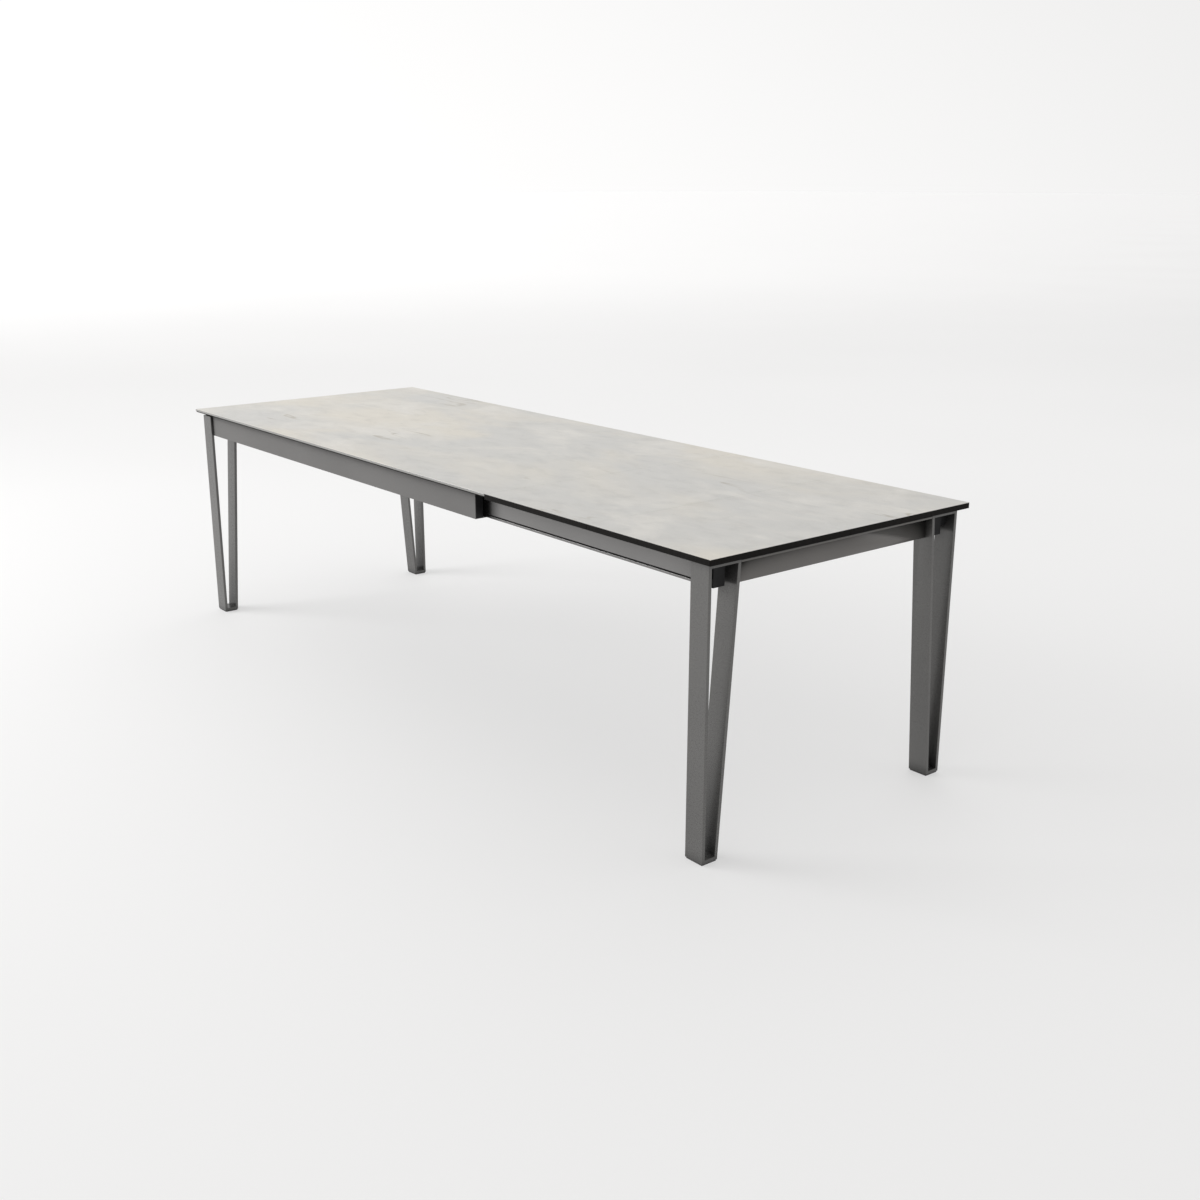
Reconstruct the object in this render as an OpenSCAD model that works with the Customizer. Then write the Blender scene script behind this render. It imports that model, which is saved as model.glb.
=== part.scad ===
// Extendable dining table, shown fully extended with both leaves laid in.
// The left end, the long outer rails and the fixed top stand still. The right end slides
// on inner rails that telescope out of the outer ones, and two loose leaves fill the gap.
// Millimetres. X runs along the table (right end at +X), Y across it (front at -Y), Z up.
// The origin is on the floor, under the centre of the extended table.

/* [Table top] */
// Width of the table top
table_width = 900; // [760:1:1100]
// Height of the top surface above the floor
table_height = 741; // [620:1:900]
// Length of the fixed top, which is the closed table
fixed_top_length = 1810; // [1500:1:2200]
// Length of one leaf along the table
leaf_length = 426; // [350:1:520]
// Gap between neighbouring boards
board_gap = 0.6; // [0.4:0.1:1.5]
// Thickness of the stone-look slab of the fixed top
slab_thickness = 6.5; // [5:0.5:10]
// Thickness of the dark backing board under the slab
backing_thickness = 3; // [2:0.5:5]
// Distance the backing board stays behind the slab's edge
backing_inset = 2; // [1:0.5:5]
// Thickness of the decor sheet on a leaf
decor_thickness = 1; // [0.6:0.1:2]
// Radius of the outer corners of the top
corner_radius = 3; // [1:0.5:8]

/* [Legs] */
// Width of the flat bar that a leg loop is bent from
leg_width = 58; // [52:1:80]
// Thickness of that flat bar
leg_bar = 9; // [6:0.5:12]
// Distance from the end of the top to the legs' end faces
leg_end_inset = 22.5; // [10:0.5:60]
// Distance from the long edge of the top to the legs' outer faces
leg_side_inset = 18.5; // [10:0.5:40]
// Depth of a leg loop at the floor, across the table
leg_depth_floor = 48.5; // [38:0.5:70]
// Depth of a leg loop at its top
leg_depth_top = 99; // [82:1:130]
// Thickness of the plastic foot under a leg
foot_height = 4; // [2:0.5:8]
// Distance the foot stays inside the leg's outline
foot_margin = 2; // [1:0.5:6]
// Radius of the stem that holds the foot in the leg
foot_stem_r = 3; // [2:0.5:4]
// Thickness of the leg's bar that is left over the stem
foot_stem_cover = 3; // [1:0.5:4]

/* [Rails] */
// Wall thickness of the outer rail
outer_wall = 3; // [2:0.5:4]
// Depth of the closed chamber on the outer rail's visible side
chamber_depth = 24; // [12:1:28]
// Height of the return lips that close the outer rail's channel
lip_height = 13; // [8:1:16]
// Depth of the inner rail
inner_depth = 35; // [28:1:45]
// Height of the inner rail
inner_height = 67.6; // [50:0.1:80]
// Wall thickness of the inner rail
inner_wall = 2.5; // [2:0.5:4]
// Height of the lip below the inner rail's shadow groove
groove_lip = 5.8; // [4:0.1:8]
// Width of the shadow groove
groove_width = 4; // [2:0.5:5]
// Depth of the shadow groove
groove_depth = 2.5; // [1:0.5:4]

/* [Clearances] */
// Gap between the inner rail and the chamber wall beside it
side_gap = 1.5; // [0.8:0.1:3]
// Gap between the inner rail and the return lips
lip_gap = 2; // [1:0.1:4]
// Gap under the inner rail, which holds the glide pads
under_gap = 1.6; // [1:0.1:8]
// Gap over the inner rail
over_gap = 2.3; // [1.5:0.1:4]
// Gap where a loose or sliding piece lies on its support
seat_gap = 0.3; // [0.2:0.1:0.5]
// Gap between the moving leg and the outer rail when the table is closed
closed_gap = 3; // [2:0.5:8]
// Gap round a screw, stem or barrel in its hole
hole_gap = 0.05; // [0.02:0.01:0.1]
// Gap round a block that is pushed into a rail
plug_gap = 0.1; // [0.05:0.05:0.3]
// Gap round the glide that runs in the outer rail's channel
run_gap = 0.4; // [0.3:0.1:0.8]
// Gap between the moving tie and the cross members it passes under
tie_gap = 4.5; // [2:0.5:10]
// Gap between the tie and the outer rails' lower lips
tie_lip_gap = 5; // [2:0.5:10]
// Free space behind the rear glides when the table is closed
rear_gap = 9; // [3:1:40]

/* [Ends and cross pieces] */
// Distance from the legs' end faces to the end beam's web
beam_recess = 22; // [8:1:26]
// Thickness of the end beam
beam_wall = 5; // [3:0.5:8]
// Thickness of the caps on the rail ends
cap_thickness = 2; // [1:0.5:4]
// Thickness of the rubber pad between a right leg and the leaf
leg_pad_thickness = 4.7; // [3:0.1:8]
// Width of a cross member along the table
cross_width = 50; // [30:1:80]
// Height of a cross member
cross_height = 15; // [10:1:18]
// Wall thickness of the cross members and of the tie
tube_wall = 2; // [1.5:0.5:3]
// Distance from each end of the fixed top to a cross member's middle
cross_setback = 300; // [200:10:450]
// Width of the tie along the table
tie_width = 20; // [15:1:40]
// Radius of the shanks of the small screws
small_screw_r = 2; // [1.5:0.5:3]
// Radius of the shanks of the leg screws
leg_screw_r = 3; // [2:0.5:4]

/* [Leaf fittings] */
// Radius of a concealed hinge barrel
barrel_r = 5; // [3:0.5:6]
// Length of a concealed hinge barrel
barrel_length = 14; // [10:1:25]
// Number of hinges along the fold of a leaf
hinge_count = 3; // [2:1:4]
// Distance from the leaf's end to its outermost hinges and locators
fitting_setback = 60; // [40:5:90]
// Length of a locator block under a leaf
locator_length = 60; // [30:5:100]
// Width of a locator block
locator_width = 15; // [8:1:20]
// Half the width of the ledge that carries the leaves at the fold
ledge_half_width = 100; // [60:5:140]

/* [Hidden] */
$fn = 48;

// Colours
stone_grey = "#cfcac2";
edge_black = "#1d1b19";
anthracite = "#5e5f5f";
plain_steel = "#8f9193";
nylon_black = "#2a2a2a";
rubber_black = "#191919";

// Overall length and the places along it
leaf_count = 2;
travel = leaf_count * leaf_length;
table_length = fixed_top_length + travel;
left_end = -table_length / 2;
right_end = table_length / 2;
front_edge = -table_width / 2;
fixed_top_end = left_end + fixed_top_length;

// Levels, worked down from the top surface
fixed_underside = table_height - slab_thickness - backing_thickness;
inner_top = fixed_underside - outer_wall - over_gap;
leaf_underside = inner_top + seat_gap;
inner_bottom = inner_top - inner_height;
outer_bottom = inner_bottom - under_gap - outer_wall;
leg_top = leaf_underside - seat_gap - leg_pad_thickness;
leg_shelf = leg_top - leg_bar;
beam_top = leg_shelf + beam_wall;
beam_bottom = inner_bottom;

// Places across the table, from the front edge; the back is the mirror image
leg_face = front_edge + leg_side_inset;
rail_face = leg_face + leg_bar;
channel_face = rail_face + chamber_depth;
inner_face = channel_face + side_gap;
inner_back = inner_face + inner_depth;
lip_face = inner_back + lip_gap;
rail_back = lip_face + outer_wall;

// The loop's inner bar leans in towards the top
leg_rise = leg_top - foot_height;
leg_lean = atan((leg_depth_top - leg_depth_floor) / leg_rise);
lean_bar = leg_bar / cos(leg_lean);
function lean_y(z) = leg_face + leg_depth_floor + (z - foot_height) * tan(leg_lean);

// Places along the table
leg_inner_inset = leg_end_inset + leg_width;
web_inset = leg_end_inset + beam_recess;
rail_end_inset = web_inset + cap_thickness;
outer_rail_right = fixed_top_end - leg_inner_inset - closed_gap;
notch_inset = leg_inner_inset + plug_gap;
inner_rail_right = right_end - rail_end_inset;

// The inner rails' rear ends stop short of the left blocks when the table is closed
rail_block_reach = 8;
glide_length = 30;
inner_rail_left = left_end + travel + leg_inner_inset + rail_block_reach + rear_gap + glide_length;

// Rear glide, stop and tie
glide_plug = 20;
stop_length = 30;
pad_length = 40;
pad_setback = 8;
mouth_plug_length = 15;
mouth_cap_flange = 1.2;
mouth_cap_rim = 2;
pad_side_margin = 2;
stop_side_margin = 4;
tie_setback = 12;
tie_plate = 3;
tie_ear = 16;
tie_plate_length = tie_width + 2 * tie_ear;
tie_top = fixed_underside - cross_height - tie_gap;
tie_bottom = outer_bottom + lip_height + tie_lip_gap;
tie_middle_x = inner_rail_left + tie_setback + tie_plate_length / 2;

// Overlap of joined shapes, and overrun of cutting ones
overcut = 1;
corner_steps = 8;

// Small fittings
bracket_wall = 3;
bracket_margin = 6;
bracket_reach = leg_inner_inset - web_inset - beam_wall - bracket_margin;
bracket_bottom = beam_bottom + bracket_margin;
bracket_top = leg_shelf - bracket_margin;
bracket_screw_edge = 10;
bracket_screw_reach = bracket_reach - bracket_screw_edge;
bracket_screw_margin = 7;
screw_head_h = 2.5;
screw_head_ratio = 2.1;
screw_tip_gap = 1;
web_hole_depth = beam_wall - 1;
bar_hole_depth = leg_bar - 2;
leg_screw_head_rim = 2;
leg_screw_head_r = leg_screw_r + leg_screw_head_rim;
leg_screw_head_h = 5;
leg_screw_length = 26;
leg_screw_margin = 8.5;
leg_screw_pitch = leg_inner_inset - rail_end_inset - 2 * leg_screw_margin;
foot_stem_length = leg_bar - foot_stem_cover;
block_margin = 20;
pad_margin = 6;
ledge_wall = 3;
ledge_reach = 30;
ledge_grip = 50;
ledge_setback = 1;
locator_gap = 1;
locator_height = leaf_underside - leg_top - seat_gap;
beam_pad_spacing = 50;
beam_pad_offset = ledge_half_width + beam_pad_spacing;
beam_pad_size = [40, 60];
side_spacer_size = [30, 28];
side_spacer_drop = 6;
side_spacer_setback = 3;

// ---------------------------------------------------------------- shared shapes

// Extrudes a drawing of the Y-Z plane along X, from x0 to x1
module along_x(x0, x1) {
    translate([x0, 0, 0]) rotate([90, 0, 90]) linear_extrude(x1 - x0) children();
}

// A box between two opposite corners
module box(low, high) {
    translate(low) cube(high - low);
}

// The same pieces at the front and, mirrored, at the back
module both_sides() {
    children();
    mirror([0, 1, 0]) children();
}

// Puts what is drawn for the left end at the right end
module at_right_end() {
    mirror([1, 0, 0]) children();
}

// One rounded corner's points, turning from angle a0 to a0 + 90 about a centre
function corner(cx, cy, r, a0) = r <= 0
    ? [[cx, cy]]
    : [for (a = [a0:90 / corner_steps:a0 + 90]) [cx + r * cos(a), cy + r * sin(a)]];

// A board outline: radii are for the front-left, front-right, back-right, back-left corners
module board_outline(x0, x1, y0, y1, radii) {
    polygon(concat(
        corner(x0 + radii[0], y0 + radii[0], radii[0], 180),
        corner(x1 - radii[1], y0 + radii[1], radii[1], 270),
        corner(x1 - radii[2], y1 - radii[2], radii[2], 0),
        corner(x0 + radii[3], y1 - radii[3], radii[3], 90)
    ));
}

// A pan-head screw whose shank points down from the origin
module small_screw(shank) {
    cylinder(r = small_screw_r * screw_head_ratio, h = screw_head_h);
    translate([0, 0, -shank]) cylinder(r = small_screw_r, h = shank + overcut);
}

// The hole for a small screw
module small_hole(depth) {
    translate([0, 0, -depth]) cylinder(r = small_screw_r + hole_gap, h = depth + overcut);
}

// ---------------------------------------------------------------- fixed top

module fixed_top_slab() {
    r = corner_radius;
    color(stone_grey)
    translate([0, 0, table_height - slab_thickness])
    linear_extrude(slab_thickness)
    board_outline(left_end, fixed_top_end, front_edge, -front_edge, [r, 0, 0, r]);
}

module fixed_top_backing() {
    i = backing_inset;
    r = max(0, corner_radius - i);
    color(edge_black)
    translate([0, 0, fixed_underside])
    linear_extrude(backing_thickness)
    board_outline(left_end + i, fixed_top_end - i, front_edge + i, -front_edge - i, [r, 0, 0, r]);
}

// Blocks that carry the fixed top on the left legs
module top_spacers_left() {
    color(rubber_black)
    both_sides()
    box([left_end + leg_end_inset + pad_margin, leg_face + pad_margin, leg_top],
        [left_end + leg_inner_inset - pad_margin, channel_face, fixed_underside]);
}

// ---------------------------------------------------------------- outer rails

// Section: a closed chamber on the visible side and a lipped channel behind it
module outer_section() {
    difference() {
        translate([rail_face, outer_bottom])
            square([rail_back - rail_face, fixed_underside - outer_bottom]);
        translate([rail_face + outer_wall, outer_bottom + outer_wall])
            square([chamber_depth - 2 * outer_wall, fixed_underside - outer_bottom - 2 * outer_wall]);
        translate([channel_face, outer_bottom + outer_wall])
            square([lip_face - channel_face, fixed_underside - outer_bottom - 2 * outer_wall]);
        translate([channel_face, outer_bottom + lip_height])
            square([rail_back - channel_face + overcut, fixed_underside - outer_bottom - 2 * lip_height]);
    }
}

// The front outer rail, notched at its left end for the head of the leg
module outer_rail() {
    color(anthracite)
    difference() {
        along_x(left_end + rail_end_inset, outer_rail_right) outer_section();
        box([left_end, front_edge, leg_shelf], [left_end + notch_inset, 0, table_height]);
    }
}

module outer_rail_front() {
    outer_rail();
}

module outer_rail_back() {
    mirror([0, 1, 0]) outer_rail();
}

// Caps on the left ends, and plugs with a flange in the chambers at the mouths
module outer_rail_caps() {
    inset = outer_wall + plug_gap;
    color(nylon_black)
    both_sides() {
        box([left_end + web_inset, rail_face, outer_bottom],
            [left_end + rail_end_inset, rail_back, leg_shelf]);
        union() {
            box([outer_rail_right - mouth_plug_length, rail_face + inset, outer_bottom + inset],
                [outer_rail_right + overcut, channel_face - inset, fixed_underside - inset]);
            box([outer_rail_right, rail_face + mouth_cap_rim, outer_bottom + mouth_cap_rim],
                [outer_rail_right + mouth_cap_flange, channel_face, fixed_underside - mouth_cap_rim]);
        }
    }
}

// Blocks in the channel that take the left legs' screws
module rail_blocks_left() {
    color(plain_steel)
    both_sides()
    difference() {
        box([left_end + rail_end_inset, channel_face + plug_gap, outer_bottom + outer_wall + plug_gap],
            [left_end + leg_inner_inset + rail_block_reach, lip_face - plug_gap, leg_shelf]);
        leg_screw_holes((channel_face + lip_face) / 2);
    }
}

// Nylon pads under and over the inner rail, just inside the mouth of the outer rail
module mouth_glides() {
    x1 = outer_rail_right - pad_setback;
    x0 = x1 - pad_length;
    y0 = inner_face + pad_side_margin;
    y1 = inner_back - pad_side_margin;
    color(nylon_black)
    both_sides() {
        box([x0, y0, outer_bottom + outer_wall], [x1, y1, inner_bottom - seat_gap]);
        box([x0, y0, inner_top + seat_gap], [x1, y1, fixed_underside - outer_wall]);
    }
}

// Blocks that stop the rear glides when the table is fully out
module stop_blocks() {
    color(plain_steel)
    both_sides()
    box([inner_rail_left + seat_gap, inner_face + stop_side_margin, outer_bottom + outer_wall],
        [inner_rail_left + seat_gap + stop_length, inner_back - stop_side_margin, inner_bottom - seat_gap]);
}

// ---------------------------------------------------------------- cross pieces of the base

module cross_member(x) {
    color(anthracite)
    difference() {
        box([x - cross_width / 2, rail_back, fixed_underside - cross_height],
            [x + cross_width / 2, -rail_back, fixed_underside]);
        box([x - cross_width / 2 + tube_wall, front_edge, fixed_underside - cross_height + tube_wall],
            [x + cross_width / 2 - tube_wall, -front_edge, fixed_underside - tube_wall]);
    }
}

module cross_member_left() {
    cross_member(left_end + cross_setback);
}

module cross_member_middle() {
    cross_member(left_end + fixed_top_length / 2);
}

module cross_member_right() {
    cross_member(fixed_top_end - cross_setback);
}

// Joggled strip under the fixed top's end that carries the first leaf at its fold
module leaf_ledge() {
    z0 = leaf_underside - seat_gap - ledge_wall;
    x_step = fixed_top_end - ledge_wall - ledge_setback;
    color(plain_steel)
    union() {
        box([fixed_top_end - ledge_grip, -ledge_half_width, fixed_underside - ledge_wall],
            [x_step + ledge_wall, ledge_half_width, fixed_underside]);
        box([x_step, -ledge_half_width, z0],
            [x_step + ledge_wall, ledge_half_width, fixed_underside]);
        box([x_step, -ledge_half_width, z0],
            [fixed_top_end + ledge_reach, ledge_half_width, z0 + ledge_wall]);
    }
}

// ---------------------------------------------------------------- legs and feet

// The loop of flat bar, seen from the end of the table
module leg_loop() {
    z0 = foot_height + leg_bar;
    difference() {
        polygon([
            [leg_face, foot_height],
            [lean_y(foot_height), foot_height],
            [lean_y(leg_top), leg_top],
            [leg_face, leg_top]
        ]);
        polygon([
            [rail_face, z0],
            [lean_y(z0) - lean_bar, z0],
            [lean_y(leg_shelf) - lean_bar, leg_shelf],
            [rail_face, leg_shelf]
        ]);
    }
}

// Screws that hold the leg's head down on the rail, at the left end
module leg_screw_places(y) {
    middle = left_end + (rail_end_inset + leg_inner_inset) / 2;
    for (dx = [-leg_screw_pitch / 2, leg_screw_pitch / 2])
        translate([middle + dx, y, leg_top - leg_screw_head_h - seat_gap]) children();
}

module leg_screw_holes(y) {
    leg_screw_places(y) {
        translate([0, 0, -leg_screw_length])
            cylinder(r = leg_screw_r + hole_gap, h = leg_screw_length + overcut);
        cylinder(r = leg_screw_head_r + hole_gap, h = leg_screw_head_h + overcut);
    }
}

module leg_screws(y) {
    color(plain_steel)
    both_sides()
    leg_screw_places(y) {
        translate([0, 0, -leg_screw_length]) cylinder(r = leg_screw_r, h = leg_screw_length + overcut);
        cylinder(r = leg_screw_head_r, h = leg_screw_head_h);
    }
}

// A leg at the front of the left end; y is the line of its head screws
module leg(y) {
    color(anthracite)
    difference() {
        along_x(left_end + leg_end_inset, left_end + leg_inner_inset) leg_loop();
        leg_screw_holes(y);
        foot_stem(foot_stem_r + hole_gap);
        bracket_screw_places() small_hole(bar_hole_depth);
    }
}

module foot_stem(r) {
    stem_x = left_end + leg_end_inset + leg_width / 2;
    stem_y = leg_face + leg_depth_floor / 2;
    translate([stem_x, stem_y, foot_height - overcut])
        cylinder(r = r, h = foot_stem_length + overcut);
}

// A plastic foot at the front of the left end
module foot() {
    m = foot_margin;
    color(nylon_black)
    union() {
        box([left_end + leg_end_inset + m, leg_face + m, 0],
            [left_end + leg_inner_inset - m, lean_y(foot_height) - m, foot_height]);
        foot_stem(foot_stem_r);
    }
}

left_screw_y = (channel_face + lip_face) / 2;
right_screw_y = (inner_face + inner_back) / 2;

module leg_front_left() {
    leg(left_screw_y);
}

module leg_back_left() {
    mirror([0, 1, 0]) leg(left_screw_y);
}

module leg_front_right() {
    at_right_end() leg(right_screw_y);
}

module leg_back_right() {
    at_right_end() mirror([0, 1, 0]) leg(right_screw_y);
}

module foot_front_left() {
    foot();
}

module foot_back_left() {
    mirror([0, 1, 0]) foot();
}

module foot_front_right() {
    at_right_end() foot();
}

module foot_back_right() {
    at_right_end() mirror([0, 1, 0]) foot();
}

module leg_screws_left() {
    leg_screws(left_screw_y);
}

module leg_screws_right() {
    at_right_end() leg_screws(right_screw_y);
}

// ---------------------------------------------------------------- end beams

// Outline between the two leaning bars, from z0 to z1
module between_legs(z0, z1) {
    polygon([
        [lean_y(z0), z0],
        [-lean_y(z0), z0],
        [-lean_y(z1), z1],
        [lean_y(z1), z1]
    ]);
}

// The left end beam: a web set back from the legs' faces under a flange as wide as the legs
module end_beam() {
    web_x = left_end + web_inset;
    color(anthracite)
    difference() {
        union() {
            along_x(web_x, web_x + beam_wall) between_legs(beam_bottom, beam_top);
            along_x(left_end + leg_end_inset, left_end + leg_inner_inset) between_legs(leg_shelf, beam_top);
        }
        both_sides() web_screw_places() small_hole(web_hole_depth);
    }
}

// Heights of the two screws in each flange of a bracket
bracket_screw_z = [bracket_bottom + bracket_screw_margin, bracket_top - bracket_screw_margin];

// Screws through the front bracket into the web, heads towards the middle of the table
module web_screw_places() {
    for (z = bracket_screw_z)
        translate([left_end + web_inset + beam_wall, lean_y(z) + bracket_screw_reach, z])
        rotate([0, 90, 0]) children();
}

// Screws through the front bracket into the leaning bar
module bracket_screw_places() {
    for (z = bracket_screw_z)
        translate([left_end + web_inset + beam_wall + bracket_screw_reach, lean_y(z), z])
        rotate([-90 - leg_lean, 0, 0]) children();
}

// Angle brackets that join the beam to the legs, at the left end
module beam_brackets() {
    x0 = left_end + web_inset + beam_wall;
    color(plain_steel)
    both_sides()
    difference() {
        union() {
            along_x(x0, x0 + bracket_reach) bracket_strip(bracket_wall);
            along_x(x0, x0 + bracket_wall) bracket_strip(bracket_reach);
        }
        translate([bracket_wall, 0, 0]) web_screw_places() small_hole(bracket_wall + overcut);
        bracket_screw_places() translate([0, 0, bracket_wall]) small_hole(bracket_wall + overcut);
    }
}

module bracket_strip(reach) {
    y0 = lean_y(bracket_bottom);
    y1 = lean_y(bracket_top);
    polygon([
        [y0, bracket_bottom],
        [y0 + reach, bracket_bottom],
        [y1 + reach, bracket_top],
        [y1, bracket_top]
    ]);
}

module beam_screws() {
    color(plain_steel)
    both_sides() {
        translate([bracket_wall, 0, 0]) web_screw_places()
            small_screw(bracket_wall + web_hole_depth - screw_tip_gap);
        bracket_screw_places() translate([0, 0, bracket_wall])
            small_screw(bracket_wall + bar_hole_depth - screw_tip_gap);
    }
}

module end_beam_left() {
    end_beam();
}

module end_beam_right() {
    at_right_end() end_beam();
}

module beam_brackets_left() {
    beam_brackets();
}

module beam_brackets_right() {
    at_right_end() beam_brackets();
}

module beam_screws_left() {
    beam_screws();
}

module beam_screws_right() {
    at_right_end() beam_screws();
}

// ---------------------------------------------------------------- sliding end

// Section: a hollow box with a shadow groove near the foot of its outer face
module inner_section() {
    rib = groove_lip + groove_width + inner_wall;
    difference() {
        translate([inner_face, inner_bottom]) square([inner_depth, inner_height]);
        translate([inner_face - overcut, inner_bottom + groove_lip])
            square([groove_depth + overcut, groove_width]);
        translate([inner_face + inner_wall, inner_bottom + rib])
            square([inner_depth - 2 * inner_wall, inner_height - rib - inner_wall]);
        translate([inner_face + groove_depth + inner_wall, inner_bottom + inner_wall])
            square([inner_depth - groove_depth - 2 * inner_wall, groove_lip + groove_width - inner_wall]);
    }
}

// The front inner rail, notched at its right end for the head of the leg
module inner_rail() {
    color(anthracite)
    difference() {
        along_x(inner_rail_left, inner_rail_right) inner_section();
        box([right_end - notch_inset, front_edge, leg_shelf], [right_end, 0, table_height]);
        tie_screw_places() small_hole(tie_plate + inner_wall + overcut);
    }
}

module inner_rail_front() {
    inner_rail();
}

module inner_rail_back() {
    mirror([0, 1, 0]) inner_rail();
}

module inner_rail_caps() {
    color(nylon_black)
    both_sides()
    box([inner_rail_right, inner_face, inner_bottom],
        [inner_rail_right + cap_thickness, inner_back, leg_shelf]);
}

// Blocks in the hollow of the inner rails that take the right legs' screws
module rail_blocks_right() {
    z0 = inner_bottom + groove_lip + groove_width + inner_wall + plug_gap;
    inset = inner_wall + plug_gap;
    color(plain_steel)
    both_sides()
    difference() {
        box([right_end - leg_inner_inset - block_margin, inner_face + inset, z0],
            [inner_rail_right, inner_back - inset, leg_shelf]);
        at_right_end() leg_screw_holes(right_screw_y);
    }
}

// Spacers between the right legs' outer bars and the inner rails
module side_spacers_right() {
    z1 = leg_shelf - side_spacer_drop;
    x1 = inner_rail_right - side_spacer_setback;
    color(nylon_black)
    both_sides()
    box([x1 - side_spacer_size[0], rail_face, z1 - side_spacer_size[1]], [x1, inner_face, z1]);
}

// Nylon glides in the rear ends of the inner rails, running in the outer rails' channels
module rear_glides() {
    rib = groove_lip + groove_width + inner_wall;
    inset = inner_wall + plug_gap;
    color(nylon_black)
    both_sides()
    union() {
        box([inner_rail_left - glide_length, channel_face + run_gap, outer_bottom + outer_wall + run_gap],
            [inner_rail_left, lip_face - run_gap, fixed_underside - outer_wall - run_gap]);
        box([inner_rail_left - overcut, inner_face + inset, inner_bottom + rib + plug_gap],
            [inner_rail_left + glide_plug, inner_back - inset, inner_top - inset]);
    }
}

// Screws through the tie's end plates into the inner rails
module tie_screw_places() {
    z = (tie_top + tie_bottom) / 2;
    for (dx = [-1, 1])
        translate([tie_middle_x + dx * (tie_width + tie_ear) / 2, inner_back + tie_plate, z])
        rotate([-90, 0, 0]) children();
}

// The tie that keeps the rear ends of the inner rails together
module rear_tie() {
    x0 = tie_middle_x - tie_width / 2;
    x1 = tie_middle_x + tie_width / 2;
    color(anthracite)
    difference() {
        union() {
            box([x0, inner_back + overcut, tie_bottom], [x1, -inner_back - overcut, tie_top]);
            both_sides()
            box([tie_middle_x - tie_plate_length / 2, inner_back, tie_bottom],
                [tie_middle_x + tie_plate_length / 2, inner_back + tie_plate, tie_top]);
        }
        box([x0 + tube_wall, inner_back + tie_plate, tie_bottom + tube_wall],
            [x1 - tube_wall, -inner_back - tie_plate, tie_top - tube_wall]);
        both_sides() tie_screw_places() small_hole(tie_plate + overcut);
    }
}

module tie_screws() {
    color(plain_steel)
    both_sides() tie_screw_places() small_screw(tie_plate + inner_wall);
}

// Rubber pads on the right legs, just under the leaf
module leg_pads_right() {
    color(rubber_black)
    both_sides()
    box([right_end - leg_inner_inset + pad_margin, leg_face + pad_margin, leg_top],
        [right_end - leg_end_inset - pad_margin, channel_face, leg_top + leg_pad_thickness]);
}

// Rubber pads on the right end beam, one each side of the ledge's path
module beam_pads_right() {
    x = right_end - leg_end_inset - leg_width / 2;
    color(rubber_black)
    both_sides()
    box([x - beam_pad_size[0] / 2, -beam_pad_offset - beam_pad_size[1], beam_top],
        [x + beam_pad_size[0] / 2, -beam_pad_offset, leaf_underside - seat_gap]);
}

// ---------------------------------------------------------------- leaves

// Left edge of a leaf; the first lies against the fixed top
function leaf_left(i) = fixed_top_end + (i - 1) * leaf_length;

// Outer corners are rounded on the last leaf only
module leaf_outline(i) {
    r = i == leaf_count ? corner_radius : 0;
    board_outline(leaf_left(i) + board_gap, leaf_left(i) + leaf_length,
        front_edge, -board_gap / 2, [0, r, 0, 0]);
}

// Places of the hinges along the fold, at mid height of the core
module hinge_places(i) {
    z = (leaf_underside + table_height - decor_thickness) / 2;
    span = leaf_length - 2 * fitting_setback;
    for (k = [0:hinge_count - 1])
        translate([leaf_left(i) + fitting_setback + k * span / (hinge_count - 1), -board_gap / 2, z])
        rotate([90, 0, 0]) children();
}

// The front half of a leaf's black core
module half_core(i) {
    color(edge_black)
    difference() {
        translate([0, 0, leaf_underside])
            linear_extrude(table_height - decor_thickness - leaf_underside) leaf_outline(i);
        hinge_places(i) translate([0, 0, -overcut])
            cylinder(r = barrel_r + hole_gap, h = barrel_length + overcut);
    }
}

// The stone-look sheet on that half
module half_decor(i) {
    color(stone_grey)
    translate([0, 0, table_height - decor_thickness])
    linear_extrude(decor_thickness) leaf_outline(i);
}

// Its halves of the concealed hinges
module half_hinges(i) {
    color(plain_steel)
    hinge_places(i) cylinder(r = barrel_r, h = barrel_length);
}

// Blocks that keep the leaf in line between the inner rails
module half_locators(i) {
    y0 = inner_back + locator_gap;
    x0 = leaf_left(i) + fitting_setback;
    x1 = leaf_left(i) + leaf_length - fitting_setback - locator_length;
    for (x = [x0, x1])
        color(nylon_black)
        box([x, y0, leaf_underside - locator_height],
            [x + locator_length, y0 + locator_width, leaf_underside]);
}

module leaf_1_front_core() {
    half_core(1);
}

module leaf_1_front_decor() {
    half_decor(1);
}

module leaf_1_front_hinges() {
    half_hinges(1);
}

module leaf_1_front_locators() {
    half_locators(1);
}

module leaf_1_back_core() {
    mirror([0, 1, 0]) half_core(1);
}

module leaf_1_back_decor() {
    mirror([0, 1, 0]) half_decor(1);
}

module leaf_1_back_hinges() {
    mirror([0, 1, 0]) half_hinges(1);
}

module leaf_1_back_locators() {
    mirror([0, 1, 0]) half_locators(1);
}

module leaf_2_front_core() {
    half_core(2);
}

module leaf_2_front_decor() {
    half_decor(2);
}

module leaf_2_front_hinges() {
    half_hinges(2);
}

module leaf_2_front_locators() {
    half_locators(2);
}

module leaf_2_back_core() {
    mirror([0, 1, 0]) half_core(2);
}

module leaf_2_back_decor() {
    mirror([0, 1, 0]) half_decor(2);
}

module leaf_2_back_hinges() {
    mirror([0, 1, 0]) half_hinges(2);
}

module leaf_2_back_locators() {
    mirror([0, 1, 0]) half_locators(2);
}

// ---------------------------------------------------------------- assembly

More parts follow.
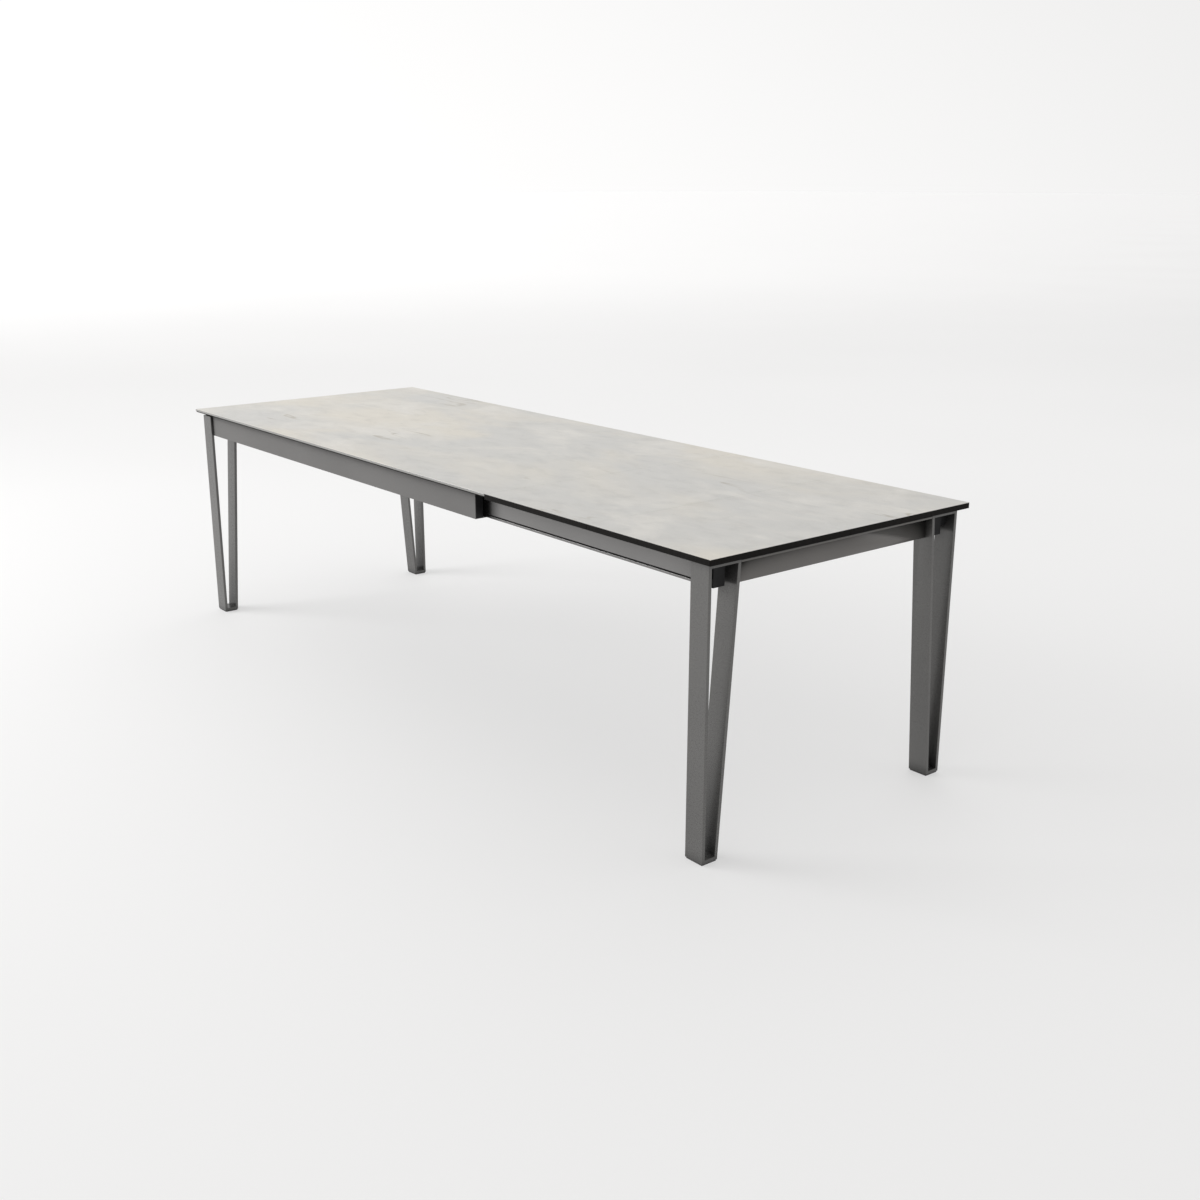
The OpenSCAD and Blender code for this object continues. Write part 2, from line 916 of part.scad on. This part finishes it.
fixed_top_slab();
fixed_top_backing();
outer_rail_front();
outer_rail_back();
outer_rail_caps();
rail_blocks_left();
cross_member_left();
cross_member_middle();
cross_member_right();
leaf_ledge();
stop_blocks();
mouth_glides();
leg_front_left();
leg_back_left();
foot_front_left();
foot_back_left();
end_beam_left();
beam_brackets_left();
beam_screws_left();
leg_screws_left();
top_spacers_left();
inner_rail_front();
inner_rail_back();
inner_rail_caps();
rail_blocks_right();
side_spacers_right();
rear_glides();
rear_tie();
tie_screws();
leg_front_right();
leg_back_right();
foot_front_right();
foot_back_right();
end_beam_right();
beam_brackets_right();
beam_screws_right();
leg_screws_right();
leg_pads_right();
beam_pads_right();
leaf_1_front_core();
leaf_1_front_decor();
leaf_1_front_hinges();
leaf_1_front_locators();
leaf_1_back_core();
leaf_1_back_decor();
leaf_1_back_hinges();
leaf_1_back_locators();
leaf_2_front_core();
leaf_2_front_decor();
leaf_2_front_hinges();
leaf_2_front_locators();
leaf_2_back_core();
leaf_2_back_decor();
leaf_2_back_hinges();
leaf_2_back_locators();
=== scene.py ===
"""Extendable dining table, fully extended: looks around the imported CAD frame.

Metres throughout, in the row frame: X along the table, Y across it, Z up, floor at Z = 0.
"""
import math

import bpy
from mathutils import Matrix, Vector


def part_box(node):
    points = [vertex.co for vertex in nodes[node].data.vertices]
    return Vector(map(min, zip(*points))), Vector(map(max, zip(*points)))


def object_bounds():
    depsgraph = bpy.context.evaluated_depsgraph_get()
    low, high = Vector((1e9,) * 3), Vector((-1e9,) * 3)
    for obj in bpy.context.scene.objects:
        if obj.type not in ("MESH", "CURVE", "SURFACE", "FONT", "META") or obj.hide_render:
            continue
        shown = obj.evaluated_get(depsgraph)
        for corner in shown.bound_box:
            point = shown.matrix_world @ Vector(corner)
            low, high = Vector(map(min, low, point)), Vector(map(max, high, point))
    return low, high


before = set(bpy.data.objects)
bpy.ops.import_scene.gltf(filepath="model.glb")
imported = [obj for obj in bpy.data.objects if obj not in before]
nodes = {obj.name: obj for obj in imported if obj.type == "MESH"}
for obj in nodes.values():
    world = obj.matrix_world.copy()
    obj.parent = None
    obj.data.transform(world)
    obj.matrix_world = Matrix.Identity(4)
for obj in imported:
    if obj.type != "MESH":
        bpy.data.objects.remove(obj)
cad_low, cad_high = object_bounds()
scene = bpy.context.scene

# ------------------------------------------------------------------ camera

CAMERA_PLACE = (3.4177, -2.4457, 1.5142)
CAMERA_YAW = 50.977
CAMERA_PITCH = 16.674
CAMERA_ROLL = -0.059
CAMERA_LENS = 41.79
CAMERA_SENSOR = 36.0
CAMERA_CLIP = (0.05, 600.0)

camera_data = bpy.data.cameras.new("camera")
camera_data.lens = CAMERA_LENS
camera_data.sensor_width = CAMERA_SENSOR
camera_data.clip_start, camera_data.clip_end = CAMERA_CLIP
camera = bpy.data.objects.new("camera", camera_data)
camera.location = CAMERA_PLACE
camera.rotation_mode = "XYZ"
camera.rotation_euler = (
    math.radians(90 - CAMERA_PITCH), math.radians(CAMERA_ROLL), math.radians(CAMERA_YAW))
scene.collection.objects.link(camera)
scene.camera = camera

# ------------------------------------------------------------------ node helpers


class Shader:
    """A material and short calls for the nodes that most materials here share."""

    def __init__(self, name):
        self.material = bpy.data.materials.new(name)
        self.material.use_nodes = True
        tree = self.material.node_tree
        self.nodes = tree.nodes
        self.links = tree.links
        self.bsdf = self.nodes["Principled BSDF"]
        self.place = None

    def new(self, kind, **values):
        node = self.nodes.new(kind)
        for key, value in values.items():
            setattr(node, key, value)
        return node

    def join(self, out, into):
        self.links.new(out, into)

    def coords(self, scale=(1, 1, 1), offset=(0, 0, 0), turn=(0, 0, 0)):
        """The row frame's own coordinates, scaled, shifted and turned."""
        if self.place is None:
            self.place = self.new("ShaderNodeTexCoord")
        mapping = self.new("ShaderNodeMapping")
        mapping.inputs["Location"].default_value = offset
        mapping.inputs["Rotation"].default_value = turn
        mapping.inputs["Scale"].default_value = scale
        self.join(self.place.outputs["Object"], mapping.inputs["Vector"])
        return mapping.outputs["Vector"]

    def noise(self, vector, scale, detail=4.0, rough=0.55, distortion=0.0):
        node = self.new("ShaderNodeTexNoise")
        node.inputs["Scale"].default_value = scale
        node.inputs["Detail"].default_value = detail
        node.inputs["Roughness"].default_value = rough
        node.inputs["Distortion"].default_value = distortion
        self.join(vector, node.inputs["Vector"])
        return node

    def ramp(self, value, stops):
        """A colour ramp: stops are (position, grey or colour)."""
        node = self.new("ShaderNodeValToRGB")
        node.color_ramp.interpolation = "EASE"
        elements = node.color_ramp.elements
        while len(elements) < len(stops):
            elements.new(0.5)
        for element, (position, colour) in zip(elements, stops):
            element.position = position
            if isinstance(colour, (int, float)):
                colour = (colour,) * 3
            element.color = (*colour, 1.0)
        self.join(value, node.inputs["Fac"])
        return node.outputs["Color"]

    def mix(self, factor, a, b, blend="MIX"):
        """Mixes two colours; each of the three inputs is a socket or a value."""
        node = self.new("ShaderNodeMix", data_type="RGBA", blend_type=blend)
        for socket, value in ((node.inputs[0], factor), (node.inputs[6], a), (node.inputs[7], b)):
            if isinstance(value, bpy.types.NodeSocket):
                self.join(value, socket)
            elif isinstance(value, (int, float)):
                socket.default_value = value
            else:
                socket.default_value = (*value, 1.0)
        return node.outputs[2]

    def math(self, operation, a, b=0.0, c=0.0):
        node = self.new("ShaderNodeMath", operation=operation)
        for socket, value in zip(node.inputs, (a, b, c)):
            if isinstance(value, bpy.types.NodeSocket):
                self.join(value, socket)
            else:
                socket.default_value = value
        return node.outputs[0]

    def axis(self, vector, name):
        """One coordinate of a vector."""
        split = self.new("ShaderNodeSeparateXYZ")
        self.join(vector, split.inputs["Vector"])
        return split.outputs[name]

    def surface(self, what):
        """An output of the Geometry node, such as Position."""
        return self.new("ShaderNodeNewGeometry").outputs[what]

    def fade(self, value, start, end, low=0.0, high=1.0):
        """Runs smoothly from low at start to high at end."""
        node = self.new("ShaderNodeMapRange", interpolation_type="SMOOTHSTEP")
        self.join(value, node.inputs["Value"])
        places = (("From Min", start), ("From Max", end), ("To Min", low), ("To Max", high))
        for key, place in places:
            node.inputs[key].default_value = place
        return node.outputs["Result"]

    def bump(self, height, strength, distance, normal=None):
        node = self.new("ShaderNodeBump")
        node.inputs["Strength"].default_value = strength
        node.inputs["Distance"].default_value = distance
        self.join(height, node.inputs["Height"])
        if normal is not None:
            self.join(normal, node.inputs["Normal"])
        return node.outputs["Normal"]

    def finish(self, colour=None, rough=None, normal=None, metallic=0.0, specular=0.5):
        pairs = (("Base Color", colour), ("Roughness", rough), ("Normal", normal))
        for name, value in pairs:
            socket = self.bsdf.inputs[name]
            if isinstance(value, bpy.types.NodeSocket):
                self.join(value, socket)
            elif isinstance(value, (int, float)):
                socket.default_value = value
            elif value is not None:
                socket.default_value = (*value, 1.0)
        self.bsdf.inputs["Metallic"].default_value = metallic
        self.bsdf.inputs["Specular IOR Level"].default_value = specular
        return self.material


# ------------------------------------------------------------------ materials

# Painted shade: how dark the coat's colour is made deep in a corner or close to another part, found
# by ambient occlusion
PAINTED_CORNER_SHADE = 0.25
# Scale of the coat's orange-peel grain, and how much finer its flecks are
COAT_GRAIN = 900.0
FLECK_FINENESS = 3.2
# Painted shade: the dark colour given to the coat in the narrow groove of the inner rail, which
# light hardly reaches
GROOVE_PAINTED_SHADE = (0.010, 0.0098, 0.0096)
# Painted shadow: the coat's colour on the inner rail just past the outer rail's mouth, which shades
# it
MOUTH_SHADOW_PAINT = (0.014, 0.0137, 0.0134)
# Colour of the darker strokes in the stone, and of the decor sheets' outer edges
STROKE_DARK = (0.33, 0.29, 0.22)
DECOR_EDGE = (0.010, 0.009, 0.008)
SLAB_EDGE_ROUGH = 0.16
# Least upward part of a normal that counts as facing up, and how near a face lies to the box's
# side to be an outer edge
FACING_UP = 0.9
EDGE_TOLERANCE = 0.0004
# Heights of the inner rail's shadow groove above its foot, depth behind its face, and how far the
# painted shadow from the outer rail's mouth reaches past it, full and faded out
GROOVE_FOOT, GROOVE_TOP, GROOVE_BEHIND = 0.0056, 0.0100, 0.0030
MOUTH_SHADOW_FULL, MOUTH_SHADOW_CLEAR = 0.018, 0.095
# Directions of an extrusion's lines, along the rails
RAIL_LINES = (0.6, 900, 900)


def stone_surface(s):
    """Colour, roughness and bump of the cloudy cement-look stone, unbroken over all the boards."""
    here = s.coords()
    flow = s.coords(scale=(0.60, 1.0, 1.0), turn=(0, 0, 0.12))
    clouds = s.noise(flow, 2.1, detail=4, rough=0.50, distortion=0.35)
    patches = s.noise(flow, 5.2, detail=5, rough=0.55, distortion=0.6)
    mottling = s.noise(flow, 19.0, detail=6, rough=0.62, distortion=0.3)
    grain = s.noise(here, 420.0, detail=3, rough=0.6)

    cool, warm, pale = (0.577, 0.569, 0.543), (0.662, 0.627, 0.556), (0.703, 0.683, 0.640)
    colour = s.mix(s.ramp(clouds.outputs["Fac"], [(0.40, 0.0), (0.60, 1.0)]), cool, warm)
    colour = s.mix(s.ramp(patches.outputs["Fac"], [(0.46, 0.0), (0.70, 0.8)]), colour, pale)
    shade = s.ramp(mottling.outputs["Fac"], [(0.30, 0.91), (0.52, 0.99), (0.74, 1.045)])
    colour = s.mix(1.0, colour, shade, "MULTIPLY")

    # Sparse drawn-out darker strokes where a ridge of one noise meets a patch of another
    strokes = s.coords(scale=(0.40, 2.7, 1.0), turn=(0, 0, -0.16))
    ridge = s.noise(strokes, 4.6, detail=3, rough=0.45, distortion=0.25)
    distance = s.math("ABSOLUTE", s.math("SUBTRACT", ridge.outputs["Fac"], 0.5))
    line = s.ramp(distance, [(0.0, 1.0), (0.018, 0.0)])
    sparse = s.noise(s.coords(offset=(3.7, -1.9, 0.0)), 3.6, detail=2)
    line = s.math("MULTIPLY", line, s.ramp(sparse.outputs["Fac"], [(0.56, 0.0), (0.68, 0.60)]))
    colour = s.mix(line, colour, STROKE_DARK)
    speckle = s.ramp(grain.outputs["Fac"], [(0.28, 0.93), (0.5, 1.0), (0.75, 1.02)])
    colour = s.mix(1.0, colour, speckle, "MULTIPLY")

    rough = s.ramp(patches.outputs["Fac"], [(0.3, 0.40), (0.7, 0.52)])
    height = s.mix(0.35, mottling.outputs["Fac"], grain.outputs["Fac"])
    return colour, rough, s.bump(height, 0.12, 0.0006)


def face_up(s):
    """1 on faces that look up, 0 on edges and undersides."""
    return s.math("GREATER_THAN", s.axis(s.surface("True Normal"), "Z"), FACING_UP)


def make_slab():
    """Stone-look slab with a smooth polished grey edge."""
    s = Shader("stone_slab")
    colour, rough, normal = stone_surface(s)
    up = face_up(s)
    body = s.noise(s.coords(scale=(1, 1, 3)), 160.0, detail=4)
    edge = s.ramp(body.outputs["Fac"], [(0.3, (0.20, 0.197, 0.19)), (0.7, (0.27, 0.266, 0.256))])
    return s.finish(s.mix(up, edge, colour), s.mix(up, (SLAB_EDGE_ROUGH,) * 3, rough), normal)


def outer_edge(s):
    """1 on the long and short outer edges of the leaves, 0 on their tops and along the seams."""
    place = s.surface("Position")
    side = s.math("ABSOLUTE", s.axis(place, "Y"))
    on_side = s.math("GREATER_THAN", side, cad_high[1] - EDGE_TOLERANCE)
    on_end = s.math("GREATER_THAN", s.axis(place, "X"), cad_high[0] - EDGE_TOLERANCE)
    return s.math("MAXIMUM", on_side, on_end)


def make_decor():
    """The same stone look on the leaves' thin sheets, whose outer edges are as dark as the core."""
    s = Shader("stone_leaf")
    colour, rough, normal = stone_surface(s)
    dark = s.math("MULTIPLY", outer_edge(s), s.math("SUBTRACT", 1.0, face_up(s)))
    return s.finish(s.mix(dark, colour, DECOR_EDGE), rough, normal)


def make_core():
    """Black compact core: fine pressed layers and a satin sawn edge."""
    s = Shader("leaf_core")
    layers = s.noise(s.coords(scale=(3, 3, 2600)), 1.0, detail=2)
    sawn = s.noise(s.coords(scale=(160, 160, 4)), 1.0, detail=3)
    dark, light = (0.0040, 0.0034, 0.0029), (0.0080, 0.0069, 0.0060)
    colour = s.ramp(layers.outputs["Fac"], [(0.35, dark), (0.65, light)])
    rough = s.ramp(sawn.outputs["Fac"], [(0.3, 0.55), (0.7, 0.70)])
    return s.finish(colour, rough, s.bump(sawn.outputs["Fac"], 0.1, 0.0002), specular=0.09)


def make_backing():
    """Dark backing board: pressed fibres under a black film."""
    s = Shader("backing_board")
    fibres = s.noise(s.coords(scale=(60, 220, 60), turn=(0, 0, 0.3)), 1.0, detail=6, rough=0.7)
    dark, light = (0.006, 0.0055, 0.005), (0.012, 0.011, 0.010)
    colour = s.ramp(fibres.outputs["Fac"], [(0.3, dark), (0.7, light)])
    return s.finish(colour, 0.75, s.bump(fibres.outputs["Fac"], 0.25, 0.0003), specular=0.04)


def mouth_shadow_fade(s, full, clear):
    """Painted shadow of the outer rail's mouth on the inner rail: 1 at the place full along X,
    fading to 0 at clear.
    """
    return s.fade(s.axis(s.coords(), "X"), full, clear, low=1.0, high=0.0)


def in_groove(s, low, high, depth_place):
    """1 inside the shadow groove of the inner rails' outer faces, 0 elsewhere."""
    here = s.coords()
    above = s.math("GREATER_THAN", s.axis(here, "Z"), low)
    below = s.math("LESS_THAN", s.axis(here, "Z"), high)
    outside = s.math("GREATER_THAN", s.math("ABSOLUTE", s.axis(here, "Y")), depth_place)
    return s.math("MULTIPLY", s.math("MULTIPLY", above, below), outside)


def powder_coat(name, dark, light, rough, metallic, specular=0.5, reach=0.05, drawn=None,
                groove=None, mouth_shadow=None):
    """Fine powder coat, darker in corners within reach.

    drawn adds an extrusion's faint lines, groove painted shade inside a groove, and the last
    argument a painted shadow on the stretch of inner rail past the outer rail's mouth.
    """
    s = Shader(name)
    here = s.coords()
    cast = s.noise(here, 3.0, detail=3)
    peel = s.noise(here, COAT_GRAIN, detail=2, rough=0.5)
    fleck = s.noise(here, COAT_GRAIN * FLECK_FINENESS, detail=1)
    colour = s.ramp(cast.outputs["Fac"], [(0.3, dark), (0.7, light)])
    specks = s.ramp(fleck.outputs["Fac"], [(0.3, 0.93), (0.55, 1.0), (0.78, 1.09)])
    colour = s.mix(1.0, colour, specks, "MULTIPLY")
    gloss = s.ramp(peel.outputs["Fac"], [(0.3, rough[0]), (0.7, rough[1])])
    normal = s.bump(peel.outputs["Fac"], 0.12, 0.0003)
    # Painted shade: ambient occlusion within reach darkens the coat's colour in corners and near
    # other parts
    painted_shade_ao = s.new("ShaderNodeAmbientOcclusion", samples=6)
    painted_shade_ao.inputs["Distance"].default_value = reach
    shade = s.ramp(painted_shade_ao.outputs["AO"], [(0.25, PAINTED_CORNER_SHADE), (0.90, 1.0)])
    colour = s.mix(1.0, colour, shade, "MULTIPLY")
    # Painted shadow that the outer rail's mouth casts on the inner rail, fading along X
    if mouth_shadow:
        colour = s.mix(mouth_shadow_fade(s, *mouth_shadow), colour, MOUTH_SHADOW_PAINT)
    # Painted shade inside the inner rail's groove, darker than the coat
    if groove:
        shadow = in_groove(s, *groove)
        colour = s.mix(shadow, colour, GROOVE_PAINTED_SHADE)
        gloss = s.mix(shadow, gloss, (0.8,) * 3)
    if drawn:
        lines = s.noise(s.coords(scale=drawn), 1.0, detail=2)
        normal = s.bump(lines.outputs["Fac"], 0.05, 0.0002, normal)
    return s.finish(colour, gloss, normal, metallic=metallic, specular=specular)


def make_plastic(name, dark, light, rough=(0.42, 0.56), specular=0.5):
    """Moulded black plastic with a fine spark-eroded grain."""
    s = Shader(name)
    grain = s.noise(s.coords(), 1400.0, detail=2)
    cast = s.noise(s.coords(), 30.0, detail=3)
    colour = s.ramp(cast.outputs["Fac"], [(0.3, dark), (0.7, light)])
    gloss = s.ramp(grain.outputs["Fac"], [(0.3, rough[0]), (0.7, rough[1])])
    return s.finish(colour, gloss, s.bump(grain.outputs["Fac"], 0.18, 0.0002), specular=specular)


def make_metal(name, dark, light, lines, rough):
    """Bare metal with drawn or rolled lines along one axis."""
    s = Shader(name)
    streaks = s.noise(s.coords(scale=lines), 1.0, detail=4)
    blotch = s.noise(s.coords(), 40.0, detail=3)
    colour = s.ramp(streaks.outputs["Fac"], [(0.3, dark), (0.7, light)])
    tone = s.ramp(blotch.outputs["Fac"], [(0.3, 0.92), (0.7, 1.05)])
    gloss = s.ramp(streaks.outputs["Fac"], [(0.3, rough[0]), (0.7, rough[1])])
    return s.finish(s.mix(1.0, colour, tone, "MULTIPLY"), gloss,
                    s.bump(streaks.outputs["Fac"], 0.12, 0.0001), metallic=1.0)


slab_look = make_slab()
decor_look = make_decor()
core_look = make_core()
backing_look = make_backing()
leg_look = powder_coat(
    "leg_powder_coat", (0.130, 0.128, 0.125), (0.143, 0.141, 0.137), rough=(0.24, 0.34),
    metallic=0.55)
# The end beam and the inner rail reach farther for their painted shade in corners and beside other
# parts
beam_look = powder_coat(
    "beam_powder_coat", (0.150, 0.144, 0.138), (0.164, 0.157, 0.150), rough=(0.28, 0.38),
    metallic=0.6, reach=0.15)
rail_look = powder_coat(
    "outer_rail_coat", (0.150, 0.147, 0.144), (0.164, 0.161, 0.158), rough=(0.60, 0.70),
    drawn=RAIL_LINES, specular=0.12, metallic=0.0)
# The inner rail's shadow groove, from the rail's own box
rail_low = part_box("inner_rail_front")[0]
groove_low, groove_high = rail_low[2] + GROOVE_FOOT, rail_low[2] + GROOVE_TOP
groove_floor = -rail_low[1] - GROOVE_BEHIND
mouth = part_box("outer_rail_front")[1][0]
# The inner rail's coat carries painted shade in its groove and a painted shadow past the mouth
inner_rail_look = powder_coat(
    "inner_rail_coat", (0.190, 0.187, 0.184), (0.204, 0.200, 0.197), rough=(0.18, 0.26),
    drawn=RAIL_LINES, metallic=0.8, reach=0.11, groove=(groove_low, groove_high, groove_floor),
    mouth_shadow=(mouth + MOUTH_SHADOW_FULL, mouth + MOUTH_SHADOW_CLEAR))
foot_look = make_plastic("foot_plastic", (0.012, 0.012, 0.012), (0.02, 0.02, 0.02))
nylon_look = make_plastic(
    "black_nylon", (0.008, 0.008, 0.0085), (0.014, 0.014, 0.0145), (0.46, 0.58), 0.22)
rubber_look = make_plastic(
    "rubber_pad", (0.012, 0.012, 0.012), (0.017, 0.017, 0.017), (0.72, 0.86))
mill_look = make_metal(
    "mill_aluminium", (0.55, 0.55, 0.56), (0.66, 0.66, 0.67), (5, 700, 700), (0.32, 0.46))
zinc_look = make_metal(
    "zinc_steel", (0.50, 0.51, 0.52), (0.62, 0.63, 0.64), (260, 260, 260), (0.26, 0.38))

# The first word found in a node's name gives its look
BY_WORD = (
    ("fixed_top_slab", slab_look), ("fixed_top_backing", backing_look),
    ("_decor", decor_look), ("_core", core_look),
    ("outer_rail_caps", nylon_look), ("inner_rail_caps", nylon_look),
    ("rail_blocks", mill_look), ("outer_rail", rail_look), ("inner_rail", inner_rail_look),
    ("cross_member", rail_look), ("rear_tie", rail_look), ("leaf_ledge", mill_look),
    ("stop_blocks", mill_look), ("mouth_glides", nylon_look), ("rear_glides", nylon_look),
    ("leg_screws", zinc_look), ("leg_pads", rubber_look), ("leg_", leg_look),
    ("foot_", foot_look), ("end_beam", beam_look), ("beam_brackets", mill_look),
    ("beam_screws", zinc_look), ("beam_pads", rubber_look), ("tie_screws", zinc_look),
    ("top_spacers", rubber_look), ("side_spacers", nylon_look), ("_hinges", zinc_look),
    ("_locators", nylon_look),
)
for name, obj in nodes.items():
    look = next(m for word, m in BY_WORD if word in name)
    if not obj.data.materials:
        obj.data.materials.append(look)
    for slot in obj.material_slots:
        slot.material = look

# ------------------------------------------------------------------ softened edges

# Vertices nearer than this are one; faces flatter than this merge, and edges sharper are rounded
WELD_REACH = 0.00001
FLAT_ANGLE = math.radians(0.5)
SHARP_ANGLE = math.radians(30)
# Width of the rounded arris of each kind of piece, and its segments
ARRIS = (
    ("fixed_top_slab", 0.0008, 2), ("_decor", 0.0002, 1), ("_core", 0.0006, 2),
    ("outer_rail_front", 0.0004, 2), ("outer_rail_back", 0.0004, 2),
    ("inner_rail_front", 0.0004, 2), ("inner_rail_back", 0.0004, 2),
    ("leg_front", 0.0005, 2), ("leg_back", 0.0005, 2), ("end_beam", 0.0005, 2),
    ("foot_", 0.0006, 2), ("cross_member", 0.0008, 2), ("beam_pads", 0.0010, 2),
    ("leg_pads", 0.0006, 2), ("_locators", 0.0006, 2), ("mouth_glides", 0.0004, 2),
)
for name, obj in nodes.items():
    found = [(w, n) for word, w, n in ARRIS if word in name]
    if not found:
        continue
    width, segments = found[0]
    weld = obj.modifiers.new("weld", "WELD")
    weld.merge_threshold = WELD_REACH
    flat = obj.modifiers.new("flat_faces", "DECIMATE")
    flat.decimate_type = "DISSOLVE"
    flat.angle_limit = FLAT_ANGLE
    arris = obj.modifiers.new("arris", "BEVEL")
    arris.width = width
    arris.segments = segments
    arris.limit_method = "ANGLE"
    arris.angle_limit = SHARP_ANGLE
    arris.use_clamp_overlap = False

# ------------------------------------------------------------------ floor and light

FLOOR_SIZE = 400.0
FLOOR_DARK, FLOOR_LIGHT = (0.400, 0.399, 0.398), (0.412, 0.411, 0.410)
GLOW_TINT = (1.0, 0.997, 0.994, 1.0)
WORLD_TINT = (1.0, 0.995, 0.99, 1.0)
WORLD_RIGHT, WORLD_LEFT = 0.70, 1.30
WORLD_LOW, WORLD_HIGH = 1.10, 0.68
FLOOR_GLOW = 0.47
# Light that the far floor reflects, the distances over which its glow meets the horizon's, and
# the side of the world that is the brighter one
FLOOR_REFLECTS = 0.345
FLOOR_FADE = (1.5, 22.0)
LIT_SIDE = (-0.80, -0.45, 0.0)
bpy.ops.mesh.primitive_plane_add(size=FLOOR_SIZE, location=(0, 0, 0))
floor = bpy.context.object
floor.name = "studio_floor"
floor_shader = Shader("studio_floor")
wash = floor_shader.noise(floor_shader.coords(), 0.35, detail=1)
floor.data.materials.append(floor_shader.finish(
    floor_shader.ramp(wash.outputs["Fac"], [(0.3, FLOOR_DARK), (0.7, FLOOR_LIGHT)]),
    0.7, None, specular=0.2))
floor_shader.bsdf.inputs["Emission Color"].default_value = GLOW_TINT


def fading_glow(s):
    """The floor's own glow: even around the table, and as bright as the world at the horizon."""
    here = s.coords()
    reach = s.new("ShaderNodeVectorMath", operation="LENGTH")
    s.join(here, reach.inputs[0])
    bearing = s.new("ShaderNodeVectorMath", operation="NORMALIZE")
    s.join(here, bearing.inputs[0])
    side = s.new("ShaderNodeVectorMath", operation="DOT_PRODUCT")
    side.inputs[1].default_value = Vector(LIT_SIDE).normalized()
    s.join(bearing.outputs["Vector"], side.inputs[0])
    horizon = (WORLD_LOW + WORLD_HIGH) / 2
    swing = horizon * (WORLD_LEFT - WORLD_RIGHT) / 2
    mean = horizon * (WORLD_LEFT + WORLD_RIGHT) / 2 - FLOOR_REFLECTS
    far = s.math("MULTIPLY_ADD", side.outputs["Value"], swing, mean)
    gain = s.math("SUBTRACT", far, FLOOR_GLOW)
    return s.math("MULTIPLY_ADD", gain, s.fade(reach.outputs["Value"], *FLOOR_FADE), FLOOR_GLOW)


floor_shader.join(fading_glow(floor_shader), floor_shader.bsdf.inputs["Emission Strength"])


def area_light(name, place, target, size, energy):
    """A rectangular light at a place, turned to a target."""
    data = bpy.data.lights.new(name, "AREA")
    data.shape = "RECTANGLE"
    data.size, data.size_y = size
    data.energy = energy
    light = bpy.data.objects.new(name, data)
    light.location = place
    light.rotation_mode = "QUATERNION"
    light.rotation_quaternion = (Vector(target) - Vector(place)).to_track_quat("-Z", "Y")
    scene.collection.objects.link(light)


area_light("key", (-4.0, -4.2, 3.0), (-0.2, 0.0, 0.4), (3.2, 2.4), 190)
area_light("top", (-2.0, 4.5, 5.0), (-1.0, 3.5, 0.0), (5.0, 4.0), 40)

# World: a pale studio, brighter to the left than to the right and at the horizon than overhead
world = bpy.data.worlds.new("studio")
world.use_nodes = True
scene.world = world
tree = world.node_tree
background = tree.nodes["Background"]
direction = tree.nodes.new("ShaderNodeTexCoord")


def along(axis, low, high):
    """World strength that runs from low, opposite the axis, to high along it."""
    dot = tree.nodes.new("ShaderNodeVectorMath")
    dot.operation = "DOT_PRODUCT"
    dot.inputs[1].default_value = Vector(axis).normalized()
    tree.links.new(direction.outputs["Generated"], dot.inputs[0])
    ramp = tree.nodes.new("ShaderNodeMapRange")
    ramp.inputs["From Min"].default_value = -1.0
    ramp.inputs["From Max"].default_value = 1.0
    ramp.inputs["To Min"].default_value = low
    ramp.inputs["To Max"].default_value = high
    tree.links.new(dot.outputs["Value"], ramp.inputs["Value"])
    return ramp.outputs["Result"]


sideways = along(LIT_SIDE, WORLD_RIGHT, WORLD_LEFT)
upward = along((0.0, 0.0, 1.0), WORLD_LOW, WORLD_HIGH)
strength = tree.nodes.new("ShaderNodeMath")
strength.operation = "MULTIPLY"
tree.links.new(sideways, strength.inputs[0])
tree.links.new(upward, strength.inputs[1])
tree.links.new(strength.outputs[0], background.inputs["Strength"])
background.inputs["Color"].default_value = WORLD_TINT

scene.view_settings.view_transform = "Standard"
scene.view_settings.look = "None"
scene.view_settings.exposure = 0.0
scene.view_settings.gamma = 1.0
